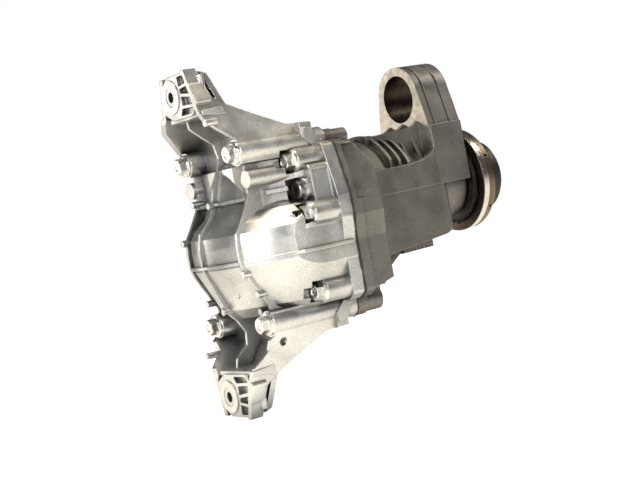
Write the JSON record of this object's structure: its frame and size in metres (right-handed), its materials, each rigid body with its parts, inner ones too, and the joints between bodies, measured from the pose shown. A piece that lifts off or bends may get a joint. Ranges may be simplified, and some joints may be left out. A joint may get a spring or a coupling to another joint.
{
  "type": "differential gear assembly",
  "caption": "Car rear-axle final drive: cast cover with two mounting ears, nose housing with bushing ear, input flange, and bevel differential inside.",
  "frame": {"origin": "centre of the bolt face of the input flange", "axes": "+X along the pinion axis to the input flange, -X to the two mounting ears, +Z along the half-shaft axis to the upper output, with the ring gear on the -Z side; +Y makes a right-handed frame, and -Y is the side with the filler plug"},
  "size_m": [0.3603, 0.174, 0.3354],
  "materials": {
    "cast_aluminium_cover": "as-cast, shot-blasted, bright",
    "cast_aluminium_nose": "as-cast, darker, low gloss",
    "sealant": "matt",
    "zinc_bolt": "zinc plated",
    "plug_steel": "plain, slightly tarnished",
    "washer_aluminium": "plain",
    "pin_steel": "ground",
    "vent_black": "moulded",
    "case_iron": "machined and as cast",
    "gear_steel": "case hardened, lapped",
    "bolt_black": "black oxide",
    "bearing_steel": "ground, oiled",
    "thrust_bronze": "plain",
    "seal_rubber": "moulded",
    "retainer_steel": "turned",
    "flange_steel": "turned, lightly browned",
    "damper_iron": "turned, brown",
    "shield_black": "black paint",
    "cap_black": "moulded"
  },
  "bodies": {
    "housing": {"rear_cover": "cast_aluminium_cover", "nose_housing": "cast_aluminium_nose", "seam_gasket": "sealant", "cover_bolts_long": "zinc_bolt", "cover_bolts_short": "zinc_bolt", "dowel_pins": "pin_steel", "filler_plug": "plug_steel", "plug_washer": "washer_aluminium", "breather_vent": "vent_black", "bearing_retainer_upper": "retainer_steel", "bearing_retainer_lower": "retainer_steel", "output_seal_upper": "seal_rubber", "output_seal_lower": "seal_rubber", "side_bearing_cup_upper": "bearing_steel", "side_bearing_cup_lower": "bearing_steel", "pinion_head_cup": "bearing_steel", "pinion_tail_cup": "bearing_steel", "pinion_seal": "seal_rubber"},
    "diff_case": {"diff_case_bowl": "case_iron", "diff_case_cap": "case_iron", "ring_gear": "gear_steel", "ring_gear_bolts": "bolt_black", "cross_pin": "pin_steel", "cross_pin_lock": "pin_steel", "side_bearing_cone_upper": "bearing_steel", "side_bearing_cone_lower": "bearing_steel", "side_thrust_washer_upper": "thrust_bronze", "side_thrust_washer_lower": "thrust_bronze", "spider_thrust_washer_near": "thrust_bronze", "spider_thrust_washer_far": "thrust_bronze"},
    "pinion_shaft": {"drive_pinion": "gear_steel", "pinion_head_cone": "bearing_steel", "pinion_tail_cone": "bearing_steel", "spacer_sleeve": "retainer_steel", "input_flange": "flange_steel", "flange_ring": "damper_iron", "dust_shield": "shield_black", "pinion_nut": "bolt_black", "flange_cap": "cap_black"},
    "side_gear_up": {"side_gear_upper": "gear_steel"},
    "side_gear_low": {"side_gear_lower": "gear_steel"},
    "spider_near": {"spider_gear_near": "gear_steel"},
    "spider_far": {"spider_gear_far": "gear_steel"},
    "side_rollers_up": {"side_bearing_rollers_upper": "bearing_steel"},
    "side_rollers_low": {"side_bearing_rollers_lower": "bearing_steel"},
    "head_rollers": {"pinion_head_rollers": "bearing_steel"},
    "tail_rollers": {"pinion_tail_rollers": "bearing_steel"}
  },
  "joints": [
    {"name": "case_spin", "type": "hinge", "parent": "housing", "child": "diff_case", "pos_m": [-0.2456, 0, -0.0157], "axis": [0, 0, 1], "continuous": true},
    {"name": "pinion_spin", "type": "hinge", "parent": "housing", "child": "pinion_shaft", "pos_m": [-0.1456, 0, 0], "axis": [1, 0, 0], "continuous": true},
    {"name": "upper_output_spin", "type": "hinge", "parent": "diff_case", "child": "side_gear_up", "pos_m": [-0.2456, 0, -0.0157], "axis": [0, 0, 1], "continuous": true},
    {"name": "lower_output_spin", "type": "hinge", "parent": "diff_case", "child": "side_gear_low", "pos_m": [-0.2456, 0, -0.0157], "axis": [0, 0, 1], "continuous": true},
    {"name": "spider_near_spin", "type": "hinge", "parent": "diff_case", "child": "spider_near", "pos_m": [-0.2456, -0.025, -0.0157], "axis": [0, 1, 0], "continuous": true},
    {"name": "spider_far_spin", "type": "hinge", "parent": "diff_case", "child": "spider_far", "pos_m": [-0.2456, 0.025, -0.0157], "axis": [0, 1, 0], "continuous": true},
    {"name": "side_rollers_up_spin", "type": "hinge", "parent": "housing", "child": "side_rollers_up", "pos_m": [-0.2456, 0, 0.045], "axis": [0, 0, 1], "continuous": true},
    {"name": "side_rollers_low_spin", "type": "hinge", "parent": "housing", "child": "side_rollers_low", "pos_m": [-0.2456, 0, -0.0764], "axis": [0, 0, 1], "continuous": true},
    {"name": "head_rollers_spin", "type": "hinge", "parent": "housing", "child": "head_rollers", "pos_m": [-0.1586, 0, 0], "axis": [1, 0, 0], "continuous": true},
    {"name": "tail_rollers_spin", "type": "hinge", "parent": "housing", "child": "tail_rollers", "pos_m": [-0.0776, 0, 0], "axis": [1, 0, 0], "continuous": true}
  ],
  "couplings": [
    {"joint": "pinion_spin", "follows": "case_spin", "ratio": 3.0833},
    {"joint": "side_rollers_up_spin", "follows": "case_spin", "ratio": 0.4481},
    {"joint": "side_rollers_low_spin", "follows": "case_spin", "ratio": 0.4481},
    {"joint": "head_rollers_spin", "follows": "case_spin", "ratio": 1.3284},
    {"joint": "tail_rollers_spin", "follows": "case_spin", "ratio": 1.3272},
    {"joint": "lower_output_spin", "follows": "upper_output_spin", "ratio": -1},
    {"joint": "spider_near_spin", "follows": "upper_output_spin", "ratio": 1.6},
    {"joint": "spider_far_spin", "follows": "upper_output_spin", "ratio": -1.6}
  ]
}
